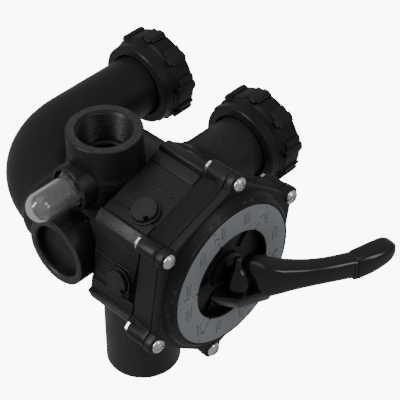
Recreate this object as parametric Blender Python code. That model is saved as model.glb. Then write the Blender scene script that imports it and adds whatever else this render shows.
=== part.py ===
"""Six-way side-mount multiport valve for a pool or spa filter.

Valve frame: Y is the valve axis (the handle faces -Y), X points to the two filter unions, Z is up.
The whole assembly hangs on an empty, which puts the world origin midway between the two unions,
on the plane where they meet the filter.
"""
import math

import bmesh
import bpy
from mathutils import Matrix, Vector

MM = 0.001
GAP = 0.3 * MM

# Cover bolting
SCREW_COUNT = 6
SCREW_CIRCLE = 80 * MM
FIRST_SCREW_DEG = 20.3
SCREW_HOLE_R = 3.4 * MM
SCREW_SHANK_R = 3.0 * MM
SCREW_HEAD_R = 6.2 * MM
SCREW_HEAD_H = 3.4 * MM
LUG_R = 8.2 * MM
LUG_FACE_Y = 1.5 * MM
NUT_SEAT_Y = 28.5 * MM
NUT_R = 5.6 * MM
NUT_H = 3.2 * MM
SCREW_END_Y = 33.5 * MM

# Housing, measured along the valve axis
JOINT_Y = 9.0 * MM
FLANGE_APOTHEM = 71.3 * MM
FLANGE_REAR_APOTHEM = 68.0 * MM
FLANGE_REAR_Y = 18.0 * MM
BARREL_APOTHEM = 65.5 * MM
BARREL_CORNER_R = 7.0 * MM
BARREL_REAR_Y = 80.0 * MM
CHAMBER_R = 58.0 * MM
SEAT_Y = 62.0 * MM
DRUM_R = 60.5 * MM
DRUM_REAR_Y = 142.0 * MM

MANIFOLD_FRONT_Y = BARREL_REAR_Y + GAP

# Seat windows and the ducts behind them
WINDOW_COUNT = 6
WINDOW_CIRCLE = 34.0 * MM
WINDOW_R = 12.0 * MM

# Ports
PORT_Y = 111.0 * MM
TOP_PORT_X = -20.0 * MM
TOP_PORT_R = 30.5 * MM
TOP_PORT_Z = 91.0 * MM
THREAD_MINOR_R = 20.6 * MM
THREAD_MAJOR_R = 21.8 * MM
THREAD_PITCH = 5.0 * MM
THREAD_TURNS = 4
CHAMFER_R = 23.4 * MM
TOP_DUCT_R = 18.0 * MM
BLIND_PORT_R = 30.0 * MM
BLIND_FACE_X = -78.0 * MM
BLIND_RECESS_R = 23.0 * MM
BLIND_RECESS_DEPTH = 7.0 * MM
SIGHT_Z = 54.0 * MM
SIGHT_BOSS_R = 19.0 * MM
SIGHT_FACE_X = -60.0 * MM
SIGHT_RECESS_R = 16.6 * MM
SIGHT_SEAT_X = -47.0 * MM
SIGHT_DUCT_R = 8.5 * MM
DRAIN_STUB_Y = 97.0 * MM
DRAIN_STUB_R = 32.6 * MM
DRAIN_STUB_BORE_R = 28.0 * MM
DRAIN_STUB_Z = -163.0 * MM
DRAIN_STUB_TOP_Z = -76.0 * MM

# Unions to the filter
UNION_NEAR_Y = 96.0 * MM
UNION_FAR_Y = 221.0 * MM
PIPE_R = 27.7 * MM
PIPE_BORE_R = 23.5 * MM
PIPE_END_X = 131.0 * MM
TAIL_SOCKET_R = 36.0 * MM
TAIL_SOCKET_END_X = 73.0 * MM
UNION_FACE_X = PIPE_END_X
COLLAR_R = 36.0 * MM
COLLAR_THICK = 7.0 * MM
NUT_NEAR_X = 118.0 * MM
NUT_FAR_X = 151.5 * MM
UNION_NUT_R = 39.5 * MM
UNION_NUT_BORE_R = 37.0 * MM
UNION_NUT_NECK_R = 29.3 * MM
UNION_LUGS = 9
UNION_LUG_TIP_R = 43.0 * MM

# Elbow from the rear of the housing to the far union
ELBOW_X = -40.0 * MM
ELBOW_START_Y = 132.0 * MM
ELBOW_BEND_R = 78.0 * MM
SOCKET_R = 32.0 * MM
SOCKET_START_Y = 96.0 * MM
ELBOW_SHOULDER_R = 31.5 * MM
ELBOW_SHOULDER_LENGTH = 13.0 * MM
SOCKET_END_Y = 142.7 * MM

# Cover and label
COVER_FRONT_Y = -5.6 * MM
LABEL_OUT_R = 61.2 * MM
LABEL_IN_R = 38.7 * MM
LABEL_THICK = 0.5 * MM
DISH_FLOOR_Y = 0.0 * MM
COVER_SPIGOT_END_Y = 19.0 * MM
STEM_R = 11.0 * MM
STEM_BORE_R = 11.3 * MM
DETENT_COUNT = 6

# Rotor and handle
ROTOR_R = 55.0 * MM
ROTOR_FACE_Y = 59.0 * MM
ROTOR_BACK_Y = 49.0 * MM
STEM_SHOULDER_Y = -0.9 * MM
TONGUE_END_Y = -17.0 * MM
TONGUE_HALF_X = 5.0 * MM
TONGUE_LOW_Z = -5.0 * MM
TONGUE_HIGH_Z = 0.5 * MM
PIN_X = -1.0 * MM
PIN_Y = -12.5 * MM
PIN_R = 3.0 * MM
PIN_LOW_Z = -13.4 * MM
PIN_HIGH_Z = 4.5 * MM
POCKET_R = 7.2 * MM
PIN_CLEARANCE = 0.08 * MM
POCKET_LOW_X = -6.4 * MM
POCKET_HIGH_X = 8.2 * MM
POCKET_LENGTH = 14.0 * MM

# Detents in the dish and notches in the label, midway between the screws
FIRST_DETENT_DEG = FIRST_SCREW_DEG + 30.0
DETENT_CIRCLE = 29.0 * MM
DETENT_LENGTH = 16.0 * MM
DETENT_WIDTH = 6.0 * MM
DETENT_DEPTH = 3.5 * MM

ORIGIN_SHIFT = Vector((-UNION_FACE_X, -(UNION_NEAR_Y + UNION_FAR_Y) / 2, 0.0))

# Segments round a turned piece
LARGE = 32
MEDIUM = 24
SMALL = 16
TINY = 10
SEAL_SIDES = 6

AXES = {
    "X": (Vector((1, 0, 0)), Vector((0, 1, 0))),
    "Y": (Vector((0, 1, 0)), Vector((1, 0, 0))),
    "Z": (Vector((0, 0, 1)), Vector((1, 0, 0))),
}


# ---------------------------------------------------------------- materials
def material(name, colour, roughness, metallic=0.0, transmission=0.0):
    made = bpy.data.materials.new(name)
    made.use_nodes = True
    shader = made.node_tree.nodes["Principled BSDF"]
    shader.inputs["Base Color"].default_value = (*colour, 1.0)
    shader.inputs["Roughness"].default_value = roughness
    shader.inputs["Metallic"].default_value = metallic
    shader.inputs["Transmission Weight"].default_value = transmission
    return made


def black_plastic(name):
    return material(name, (0.018, 0.019, 0.020), 0.42)


def black_rubber(name):
    return material(name, (0.012, 0.012, 0.012), 0.70)


def stainless(name):
    return material(name, (0.72, 0.72, 0.70), 0.25, metallic=1.0)


# ---------------------------------------------------------------- mesh helpers
def finish_mesh(name, bm, finish):
    bmesh.ops.remove_doubles(bm, verts=bm.verts, dist=1e-6)
    bmesh.ops.recalc_face_normals(bm, faces=bm.faces)
    mesh = bpy.data.meshes.new(name)
    bm.to_mesh(mesh)
    bm.free()
    mesh.shade_smooth()
    mesh.set_sharp_from_angle(angle=math.radians(35))
    if finish is not None:
        mesh.materials.append(finish)
    made = bpy.data.objects.new(name, mesh)
    bpy.context.scene.collection.objects.link(made)
    return made


def turned(profile, axis, centre, steps, name="tool", finish=None):
    """A solid of revolution. The profile holds (radius, place along the axis) pairs."""
    bm = bmesh.new()
    turn_into(bm, profile, axis, centre, steps)
    return finish_mesh(name, bm, finish)


def turn_into(bm, profile, axis, centre, steps):
    along, out = AXES[axis]
    centre = Vector(centre)
    verts = [bm.verts.new(centre + out * r + along * h) for r, h in profile]
    edges = [bm.edges.new(pair) for pair in zip(verts, verts[1:])]
    if profile[0][0] > 0:
        edges.append(bm.edges.new((verts[-1], verts[0])))
    bmesh.ops.spin(bm, geom=verts + edges, cent=centre, axis=along, angle=math.tau, steps=steps, use_merge=True)
    bmesh.ops.remove_doubles(bm, verts=bm.verts, dist=1e-6)


def rod(radius, low, high, axis, centre=(0, 0, 0), steps=SMALL, name="tool", finish=None):
    profile = [(0, low), (radius, low), (radius, high), (0, high)]
    return turned(profile, axis, centre, steps, name, finish)


def ring(inner, outer, low, high, axis, centre=(0, 0, 0), steps=MEDIUM, name="tool", finish=None):
    profile = [(inner, low), (outer, low), (outer, high), (inner, high)]
    return turned(profile, axis, centre, steps, name, finish)


def torus(mid_r, section_r, axis, centre, steps, sides, name, finish):
    turns = [math.tau * (i + 0.5) / sides for i in range(sides)]
    profile = [(mid_r + section_r * math.cos(t), section_r * math.sin(t)) for t in turns]
    return turned(profile, axis, centre, steps, name, finish)


def prism_into(bm, outline, low, high, taper=1.0):
    """An outline of (x, z) points extruded along Y from low to high."""
    verts = [bm.verts.new((x, low, z)) for x, z in outline]
    cap = bm.faces.new(verts)
    grown = bmesh.ops.extrude_face_region(bm, geom=[cap])["geom"]
    for vert in (item for item in grown if isinstance(item, bmesh.types.BMVert)):
        vert.co = Vector((vert.co.x * taper, high, vert.co.z * taper))


def prism(outline, low, high, name="tool", finish=None, taper=1.0):
    bm = bmesh.new()
    prism_into(bm, outline, low, high, taper)
    return finish_mesh(name, bm, finish)


def block(size, place, turn=None):
    """A box tool of the given (x, y, z) size, centred on place and optionally turned."""
    bm = bmesh.new()
    bmesh.ops.create_cube(bm, size=1.0)
    bmesh.ops.scale(bm, vec=size, verts=bm.verts)
    if turn is not None:
        bmesh.ops.transform(bm, matrix=turn, verts=bm.verts)
    bmesh.ops.translate(bm, vec=place, verts=bm.verts)
    return finish_mesh("tool", bm, None)


def combine(target, tools, operation):
    """Apply one Boolean with all the tools at once, then discard them."""
    group = bpy.data.collections.new("tools")
    for tool in tools:
        group.objects.link(tool)
    boolean = target.modifiers.new("boolean", "BOOLEAN")
    boolean.operation = operation
    boolean.solver = "EXACT"
    boolean.operand_type = "COLLECTION"
    boolean.collection = group
    evaluated = target.evaluated_get(bpy.context.evaluated_depsgraph_get())
    result = bpy.data.meshes.new_from_object(evaluated)
    target.modifiers.remove(boolean)
    target.data = result
    result.shade_smooth()
    result.set_sharp_from_angle(angle=math.radians(35))
    for tool in tools:
        bpy.data.objects.remove(tool)
    bpy.data.collections.remove(group)


def join(target, *tools):
    combine(target, tools, "UNION")


def cut(target, *tools):
    combine(target, tools, "DIFFERENCE")


def polar(radius, degrees):
    angle = math.radians(degrees)
    return radius * math.cos(angle), radius * math.sin(angle)


def screw_angles():
    return [FIRST_SCREW_DEG + 360 / SCREW_COUNT * i for i in range(SCREW_COUNT)]


def hexagon(apothem, corner_r, arc_points=4):
    """Rounded hexagon whose corners point at the cover screws."""
    corner_centre = apothem / math.cos(math.radians(30)) - corner_r / math.cos(math.radians(30))
    points = []
    for angle in screw_angles():
        cx, cz = polar(corner_centre, angle)
        for i in range(arc_points):
            turn = -30 + 60 * i / (arc_points - 1)
            dx, dz = polar(corner_r, angle + turn)
            points.append((cx + dx, cz + dz))
    return points


def lugged_outline(apothem, lug_r, arc_points=7):
    """Hexagon with a round ear at each screw."""
    points = []
    half_ear = 4.6
    for angle in screw_angles():
        edge_r = apothem / math.cos(math.radians(30 - half_ear - 4.4))
        points.append(polar(edge_r, angle - half_ear - 4.4))
        cx, cz = polar(SCREW_CIRCLE, angle)
        for i in range(arc_points):
            dx, dz = polar(lug_r, angle - 100 + 200 * i / (arc_points - 1))
            points.append((cx + dx, cz + dz))
        points.append(polar(edge_r, angle + half_ear + 4.4))
    return points


# ---------------------------------------------------------------- housing
def flat_frame(normal_deg, along_y, across):
    """A turn that lays a tool's local +Z on a barrel flat, and the place of a point on that flat."""
    nx, nz = polar(1, normal_deg)
    tx, tz = nz, -nx
    turn = Matrix(((0, -tx, nx, 0), (1, 0, 0, 0), (0, -tz, nz, 0), (0, 0, 0, 1)))
    place = Vector((nx * BARREL_APOTHEM + tx * across, along_y, nz * BARREL_APOTHEM + tz * across))
    return turn, place


def barrel_strips():
    """Raised strips along every flat of the barrel, as one tool of separate boxes."""
    bm = bmesh.new()
    for i in range(SCREW_COUNT):
        normal = FIRST_SCREW_DEG + 30 + 60 * i
        for across, width in ((-26.5 * MM, 10.5 * MM), (26.0 * MM, 10.5 * MM), (0.0, 30.0 * MM)):
            turn, place = flat_frame(normal, (BARREL_REAR_Y + 30 * MM) / 2, across)
            made = bmesh.ops.create_cube(bm, size=1.0)["verts"]
            bmesh.ops.scale(bm, vec=(BARREL_REAR_Y - 31 * MM, width, 2.4 * MM), verts=made)
            bmesh.ops.transform(bm, matrix=Matrix.Translation(place) @ turn, verts=made)
    return finish_mesh("tool", bm, None)


def plug_seat(normal_deg, along_y, across, radius, low, high):
    turn, place = flat_frame(normal_deg, along_y, across)
    bm = bmesh.new()
    turn_into(bm, [(0, low), (radius, low), (radius, high), (0, high)], "Z", (0, 0, 0), SMALL)
    bmesh.ops.transform(bm, matrix=Matrix.Translation(place) @ turn, verts=bm.verts)
    return finish_mesh("tool", bm, None)


GAUGE_PLUG = dict(normal_deg=FIRST_SCREW_DEG + 90, along_y=48 * MM, across=-17 * MM)
DRAIN_PLUG = dict(normal_deg=FIRST_SCREW_DEG + 150, along_y=50 * MM, across=-9 * MM)
PLUG_BOSS_R = 11.5 * MM
PLUG_BOSS_H = 3.0 * MM
PLUG_HOLE_R = 5.4 * MM
PLUG_SEAL_R = 8.4 * MM


def top_port_bore():
    profile = [(0, 24 * MM), (TOP_DUCT_R, 24 * MM), (TOP_DUCT_R, TOP_PORT_Z - 28 * MM)]
    start = TOP_PORT_Z - 3 * MM - THREAD_TURNS * THREAD_PITCH
    for i in range(THREAD_TURNS):
        profile.append((THREAD_MINOR_R, start + i * THREAD_PITCH))
        profile.append((THREAD_MAJOR_R, start + (i + 0.5) * THREAD_PITCH))
    profile += [(THREAD_MINOR_R, TOP_PORT_Z - 3 * MM), (CHAMFER_R, TOP_PORT_Z - 1 * MM),
                (CHAMFER_R, TOP_PORT_Z + 1 * MM), (0, TOP_PORT_Z + 1 * MM)]
    return turned(profile, "Z", (TOP_PORT_X, PORT_Y, 0), SMALL)


def window_cutters(low, high):
    cutters = []
    for i in range(WINDOW_COUNT):
        x, z = polar(WINDOW_CIRCLE, 60 * i)
        cutters.append(rod(WINDOW_R, low, high, "Y", (x, 0, z), TINY))
    return cutters


def build_housing_half(name, finish, keep_low_y, keep_high_y):
    """The whole outer shape of the housing, kept only between two planes across the valve axis."""
    half = prism(lugged_outline(FLANGE_APOTHEM, LUG_R), JOINT_Y + GAP, FLANGE_REAR_Y, name, finish,
                 taper=FLANGE_REAR_APOTHEM / FLANGE_APOTHEM)
    barrel = prism(hexagon(BARREL_APOTHEM, BARREL_CORNER_R), FLANGE_REAR_Y - 4 * MM, BARREL_REAR_Y)
    arms = []
    for angle in screw_angles():
        x, z = polar(SCREW_CIRCLE, angle)
        arms.append(rod(LUG_R - 0.8 * MM, FLANGE_REAR_Y - 5 * MM, NUT_SEAT_Y, "Y", (x, 0, z), TINY))
    plug_bosses = [plug_seat(**plug, radius=PLUG_BOSS_R, low=-4 * MM, high=PLUG_BOSS_H)
                   for plug in (GAUGE_PLUG, DRAIN_PLUG)]
    drum = turned([(0, BARREL_REAR_Y - 5 * MM), (DRUM_R, BARREL_REAR_Y - 5 * MM),
                   (DRUM_R, DRUM_REAR_Y - 10 * MM), (DRUM_R - 10 * MM, DRUM_REAR_Y), (0, DRUM_REAR_Y)],
                  "Y", (0, 0, 0), MEDIUM)
    top_port = rod(TOP_PORT_R, 0, TOP_PORT_Z, "Z", (TOP_PORT_X, PORT_Y, 0), MEDIUM)
    blind_port = rod(BLIND_PORT_R, BLIND_FACE_X, 0, "X", (0, PORT_Y, 0), MEDIUM)
    sight_boss = rod(SIGHT_BOSS_R, SIGHT_FACE_X, TOP_PORT_X, "X", (0, PORT_Y, SIGHT_Z), SMALL)
    drain_outlet = rod(DRAIN_STUB_R, DRAIN_STUB_TOP_Z, 0, "Z", (0, DRAIN_STUB_Y, 0), MEDIUM)
    tail_socket = turned([(0, 0), (TAIL_SOCKET_R, 0), (TAIL_SOCKET_R, 58 * MM), (33 * MM, 61 * MM),
                          (PIPE_R + 1.5 * MM, 67 * MM), (PIPE_R + 1.5 * MM, TAIL_SOCKET_END_X),
                          (0, TAIL_SOCKET_END_X)], "X", (0, UNION_NEAR_Y, 0), MEDIUM)
    rear_socket = rod(SOCKET_R, SOCKET_START_Y, SOCKET_END_Y, "Y", (ELBOW_X, 0, 0), MEDIUM)
    join(half, barrel, barrel_strips(), *arms, *plug_bosses, drum, top_port, blind_port, sight_boss,
         drain_outlet, tail_socket, rear_socket)
    size = 400 * MM
    cut(half, block((size, size, size), (0, keep_low_y - size / 2, 0)),
        block((size, size, size), (0, keep_high_y + size / 2, 0)))
    return half


def window_cutters(low, high):
    cutters = []
    for i in range(WINDOW_COUNT):
        x, z = polar(WINDOW_CIRCLE, 60 * i)
        cutters.append(rod(WINDOW_R, low, high, "Y", (x, 0, z), TINY))
    return cutters


def pipe_way_cutters():
    """Bores of the drain outlet and of the near union's socket, which both halves of the housing share."""
    return [rod(DRAIN_STUB_BORE_R, DRAIN_STUB_TOP_Z - 1 * MM, -24 * MM, "Z", (0, DRAIN_STUB_Y, 0), MEDIUM),
            rod(PIPE_BORE_R, 24 * MM, TAIL_SOCKET_END_X + 1 * MM, "X", (0, UNION_NEAR_Y, 0), MEDIUM)]


def build_valve_body():
    """Front half of the housing: bolted flange and six-sided barrel round the rotor's chamber."""
    body = build_housing_half("valve_body", black_plastic("housing_plastic"), JOINT_Y, BARREL_REAR_Y)
    groove_in, groove_out = COVER_O_RING_R - 2.2 * MM, COVER_O_RING_R + 2.2 * MM
    cutters = [rod(CHAMBER_R, 0, SEAT_Y, "Y", steps=LARGE),
               ring(groove_in, groove_out, 0, JOINT_Y + 4.2 * MM, "Y", steps=LARGE)]
    cutters += window_cutters(SEAT_Y - 1 * MM, BARREL_REAR_Y + 1 * MM)
    cutters += pipe_way_cutters()
    for angle in screw_angles():
        x, z = polar(SCREW_CIRCLE, angle)
        cutters.append(rod(SCREW_HOLE_R, 0, NUT_SEAT_Y + 1 * MM, "Y", (x, 0, z), TINY))
    for plug in (GAUGE_PLUG, DRAIN_PLUG):
        cutters.append(plug_seat(**plug, radius=PLUG_HOLE_R, low=-14 * MM, high=PLUG_BOSS_H + 1 * MM))
        cutters.append(plug_seat(**plug, radius=PLUG_SEAL_R, low=PLUG_BOSS_H - 2.3 * MM, high=PLUG_BOSS_H + 1 * MM))
    cut(body, *cutters)


def build_rear_manifold():
    """Rear half of the housing: drum with the threaded, blind and sight-glass ports and the elbow's socket."""
    manifold = build_housing_half("rear_manifold", black_plastic("manifold_plastic"), MANIFOLD_FRONT_Y, 1)
    cutters = window_cutters(BARREL_REAR_Y - 1 * MM, 104 * MM)
    cutters += pipe_way_cutters()
    cutters.append(top_port_bore())
    cutters.append(rod(BLIND_RECESS_R, BLIND_FACE_X - 1 * MM, BLIND_FACE_X + BLIND_RECESS_DEPTH, "X",
                       (0, PORT_Y, 0), MEDIUM))
    cutters.append(turned([(0, SIGHT_FACE_X - 1 * MM), (SIGHT_RECESS_R, SIGHT_FACE_X - 1 * MM),
                           (SIGHT_RECESS_R, SIGHT_SEAT_X), (SIGHT_DUCT_R, SIGHT_SEAT_X),
                           (SIGHT_DUCT_R, TOP_PORT_X), (0, TOP_PORT_X)], "X", (0, PORT_Y, SIGHT_Z), SMALL))
    cutters.append(turned([(0, 100 * MM), (17 * MM, 100 * MM), (17 * MM, ELBOW_START_Y - GAP),
                           (PIPE_R + GAP, ELBOW_START_Y - GAP), (PIPE_R + GAP, SOCKET_END_Y + 1 * MM),
                           (0, SOCKET_END_Y + 1 * MM)], "Y", (ELBOW_X, 0, 0), MEDIUM))
    cut(manifold, *cutters)


def build_tail_pipes():
    """Plain pipes welded on the housing: the near union's tail and the drain stub."""
    ring(PIPE_BORE_R, PIPE_R, TAIL_SOCKET_END_X + GAP, PIPE_END_X, "X", (0, UNION_NEAR_Y, 0), MEDIUM,
         "union_tail_pipe", black_plastic("tail_pipe_plastic"))
    ring(DRAIN_STUB_BORE_R, DRAIN_STUB_R, DRAIN_STUB_Z, DRAIN_STUB_TOP_Z - GAP, "Z", (0, DRAIN_STUB_Y, 0), MEDIUM,
         "drain_stub", black_plastic("drain_stub_plastic"))


# ---------------------------------------------------------------- cover
COVER_O_RING_R = 62.5 * MM


def detent_slot(angle):
    """A radial groove in the dish, where the handle's key drops in at each setting."""
    x, z = polar(DETENT_CIRCLE, angle)
    turn = Matrix.Rotation(-math.radians(angle), 4, "Y")
    return block((DETENT_LENGTH, 2 * DETENT_DEPTH, DETENT_WIDTH), (x, DISH_FLOOR_Y, z), turn)


def build_cover():
    cover = prism(lugged_outline(FLANGE_APOTHEM, LUG_R), LUG_FACE_Y, JOINT_Y, "cover",
                  black_plastic("cover_plastic"))
    dome = turned([(LABEL_IN_R, COVER_FRONT_Y), (LABEL_OUT_R + 1.2 * MM, COVER_FRONT_Y),
                   (FLANGE_APOTHEM - 3 * MM, LUG_FACE_Y + 0.2 * MM), (FLANGE_APOTHEM - 3 * MM, JOINT_Y - 2 * MM),
                   (LABEL_IN_R, JOINT_Y - 2 * MM)], "Y", (0, 0, 0), LARGE)
    spigot = rod(CHAMBER_R - GAP, JOINT_Y - 2 * MM, COVER_SPIGOT_END_Y, "Y", steps=LARGE)
    join(cover, dome, spigot)
    cut(cover, rod(LABEL_IN_R, COVER_FRONT_Y - 1 * MM, DISH_FLOOR_Y, "Y", steps=LARGE))
    cutters = [ring(24 * MM, 50 * MM, 13 * MM, COVER_SPIGOT_END_Y + 1 * MM, "Y", steps=MEDIUM),
               rod(STEM_BORE_R, DISH_FLOOR_Y - 1 * MM, COVER_SPIGOT_END_Y + 1 * MM, "Y", steps=SMALL)]
    cutters += [detent_slot(FIRST_DETENT_DEG + 60 * i) for i in range(DETENT_COUNT)]
    for angle in screw_angles():
        x, z = polar(SCREW_CIRCLE, angle)
        cutters.append(rod(SCREW_HOLE_R, 0, JOINT_Y + 1 * MM, "Y", (x, 0, z), TINY))
    cut(cover, *cutters)
    return cover


def build_cover_o_ring():
    return torus(COVER_O_RING_R, 1.6 * MM, "Y", (0, JOINT_Y + 2.3 * MM, 0), LARGE, SEAL_SIDES,
                 "cover_o_ring", black_rubber("cover_o_ring_rubber"))


def build_position_label():
    """Annular label with a small notch in its inner edge at each of the six settings."""
    label = ring(LABEL_IN_R + GAP, LABEL_OUT_R, COVER_FRONT_Y - GAP - LABEL_THICK, COVER_FRONT_Y - GAP, "Y",
                 steps=LARGE, name="position_label", finish=material("label_film", (0.20, 0.22, 0.24), 0.45))
    notches = []
    for i in range(DETENT_COUNT):
        angle = FIRST_DETENT_DEG + 60 * i
        tip = [polar(LABEL_IN_R + 2.6 * MM, angle), polar(LABEL_IN_R - 1 * MM, angle - 4),
               polar(LABEL_IN_R - 1 * MM, angle + 4)]
        notches.append(prism(tip, COVER_FRONT_Y - 2 * MM, COVER_FRONT_Y + 1 * MM))
    cut(label, *notches)
    return label


# ---------------------------------------------------------------- fasteners
def pan_head_profile():
    """Pan-head screw with its cross recess left as a shallow round socket."""
    top = LUG_FACE_Y - GAP - SCREW_HEAD_H
    seat = LUG_FACE_Y - GAP
    return [(0, top + 1.6 * MM), (1.5 * MM, top + 0.2 * MM), (3.2 * MM, top), (5.2 * MM, top + 0.8 * MM),
            (SCREW_HEAD_R, top + 2.3 * MM), (SCREW_HEAD_R, seat), (SCREW_SHANK_R, seat),
            (SCREW_SHANK_R, SCREW_END_Y), (0, SCREW_END_Y)]


def build_cover_screws():
    for number, angle in enumerate(screw_angles(), start=1):
        x, z = polar(SCREW_CIRCLE, angle)
        turned(pan_head_profile(), "Y", (x, 0, z), TINY, f"cover_screw_{number}", stainless(f"screw_{number}_steel"))


def build_cover_nuts():
    low = NUT_SEAT_Y + GAP
    bore = (SCREW_SHANK_R + GAP) / math.cos(math.radians(30))
    for number, angle in enumerate(screw_angles(), start=1):
        x, z = polar(SCREW_CIRCLE, angle)
        ring(bore, NUT_R, low, low + NUT_H, "Y", (x, 0, z), 6, f"cover_nut_{number}", stainless(f"nut_{number}_steel"))


# ---------------------------------------------------------------- rotor group
def tongue_cutters():
    """Blocks that leave only a flat tongue of the stem in front of its shoulder."""
    size = 30 * MM
    mid_y = STEM_SHOULDER_Y - size / 2
    return [block((size, size, size), (0, mid_y, TONGUE_HIGH_Z + size / 2)),
            block((size, size, size), (0, mid_y, TONGUE_LOW_Z - size / 2)),
            block((size, size, size), (PIN_X + TONGUE_HALF_X + size / 2, mid_y, 0)),
            block((size, size, size), (PIN_X - TONGUE_HALF_X - size / 2, mid_y, 0))]


def build_rotor():
    """Diverter disc and stem. One window passes straight through, one pocket links two ports."""
    profile = [(0, TONGUE_END_Y), (STEM_R, TONGUE_END_Y), (STEM_R, 28 * MM), (17 * MM, 34 * MM),
               (17 * MM, ROTOR_BACK_Y), (ROTOR_R, ROTOR_BACK_Y), (ROTOR_R, ROTOR_FACE_Y), (0, ROTOR_FACE_Y)]
    rotor = turned(profile, "Y", (0, 0, 0), MEDIUM, "rotor", material("rotor_plastic", (0.020, 0.021, 0.022), 0.40))
    x, z = polar(WINDOW_CIRCLE, 60)
    pocket = [polar(22 * MM, a) for a in range(150, 271, 15)] + [polar(46 * MM, a) for a in range(270, 149, -15)]
    cutters = [rod(WINDOW_R, ROTOR_BACK_Y - 1 * MM, ROTOR_FACE_Y + 1 * MM, "Y", (x, 0, z), SMALL),
               prism(pocket, ROTOR_FACE_Y - 6 * MM, ROTOR_FACE_Y + 1 * MM),
               rod(PIN_R + 0.05 * MM, -20 * MM, 20 * MM, "Z", (PIN_X, PIN_Y, 0), SMALL)]
    cutters += tongue_cutters()
    for groove_y in STEM_O_RING_Y:
        cutters.append(ring(8.6 * MM, 14 * MM, groove_y - 1.6 * MM, groove_y + 1.6 * MM, "Y", steps=SMALL))
    cut(rotor, *cutters)
    return rotor


STEM_O_RING_Y = (3.4 * MM, 10.6 * MM)


def build_stem_o_rings():
    for number, place in enumerate(STEM_O_RING_Y, start=1):
        torus(9.9 * MM, 1.15 * MM, "Y", (0, place, 0), SMALL, SEAL_SIDES, f"stem_o_ring_{number}",
              black_rubber(f"stem_o_ring_{number}_rubber"))


def build_spider_gasket():
    """Wheel-shaped seal between the rotor and the six windows of the seat."""
    low, high = ROTOR_FACE_Y + GAP, SEAT_Y - GAP
    gasket = ring(48 * MM, 54 * MM, low, high, "Y", steps=LARGE, name="spider_gasket",
                  finish=black_rubber("gasket_rubber"))
    spokes = [ring(8 * MM, 18 * MM, low, high, "Y", steps=SMALL)]
    for i in range(WINDOW_COUNT):
        angle = 30 + 60 * i
        x, z = polar(33.5 * MM, angle)
        turn = Matrix.Rotation(-math.radians(angle), 4, "Y")
        spokes.append(block((35 * MM, high - low, 5 * MM), (x, (low + high) / 2, z), turn))
    join(gasket, *spokes)
    return gasket


SPRING_MID_R = 20.5 * MM
SPRING_WIRE_R = 2.0 * MM
SPRING_TOP_Y = 23.4 * MM
SPRING_BOTTOM_Y = 44.6 * MM
SPRING_TURNS = 3.5


def build_rotor_spring():
    """Compression spring, swept as a six-sided wire along its helix."""
    sides, steps = 5, 49
    bm = bmesh.new()
    rings = []
    for i in range(steps + 1):
        t = i / steps
        turn = math.tau * SPRING_TURNS * t
        mid_y = SPRING_TOP_Y + (SPRING_BOTTOM_Y - SPRING_TOP_Y) * t
        out = Vector((math.cos(turn), 0, math.sin(turn)))
        loop = []
        for k in range(sides):
            around = math.tau * k / sides
            offset = out * (SPRING_WIRE_R * math.cos(around)) + Vector((0, SPRING_WIRE_R * math.sin(around), 0))
            loop.append(bm.verts.new(out * SPRING_MID_R + Vector((0, mid_y, 0)) + offset))
        rings.append(loop)
    for a, b in zip(rings, rings[1:]):
        for k in range(sides):
            bm.faces.new((a[k], a[(k + 1) % sides], b[(k + 1) % sides], b[k]))
    bm.faces.new(rings[0])
    bm.faces.new(rings[-1])
    return finish_mesh("rotor_spring", bm, stainless("spring_steel"))


def build_washers():
    ring(17.5 * MM, 23.4 * MM, 19.3 * MM, 21.0 * MM, "Y", steps=SMALL, name="spring_washer_front",
         finish=stainless("washer_steel_front"))
    ring(17.4 * MM, 23.4 * MM, 47.0 * MM, 48.7 * MM, "Y", steps=SMALL, name="spring_washer_rear",
         finish=stainless("washer_steel_rear"))
    ring(11.4 * MM, 16.5 * MM, DISH_FLOOR_Y - GAP - 0.6 * MM, DISH_FLOOR_Y - GAP, "Y", steps=SMALL,
         name="handle_washer", finish=material("nylon", (0.015, 0.015, 0.016), 0.5))


# ---------------------------------------------------------------- handle
# Stations along the lever in millimetres: x, y, z, half width in Z, half thickness across the lever
HANDLE_STATIONS = [
    (9, -11, 2.5, 14.5, 6.0), (11, -18, 1.5, 16.5, 8.5), (15, -26, 0.3, 16.8, 10.5), (20, -32, 1.3, 14.3, 10.8),
    (28, -38.5, 1.4, 12.0, 9.8), (40, -47.5, 1.3, 9.9, 8.8), (53, -56.5, 1.5, 9.2, 8.2), (68, -64, 0.4, 9.6, 8.0),
    (73, -66.3, -0.5, 10.0, 8.0),
]
GRIP_STATIONS = [
    (73.4, -66.5, -0.9, 10.8, 9.2), (84, -70.8, 1.0, 10.2, 9.8), (94, -73.8, 2.4, 9.2, 9.6),
    (102, -75.4, 3.4, 7.6, 8.8), (106.5, -76.2, 4.0, 5.2, 6.5), (109, -76.6, 4.2, 2.6, 3.4),
]
SECTION_POINTS = 16


def rounded_section(half_z, half_t):
    """A superellipse between an ellipse and a rectangle."""
    points = []
    for i in range(SECTION_POINTS):
        angle = math.tau * (i + 0.5) / SECTION_POINTS
        c, s = math.cos(angle), math.sin(angle)
        points.append((math.copysign(abs(c) ** 0.62, c) * half_z, math.copysign(abs(s) ** 0.62, s) * half_t))
    return points


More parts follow.
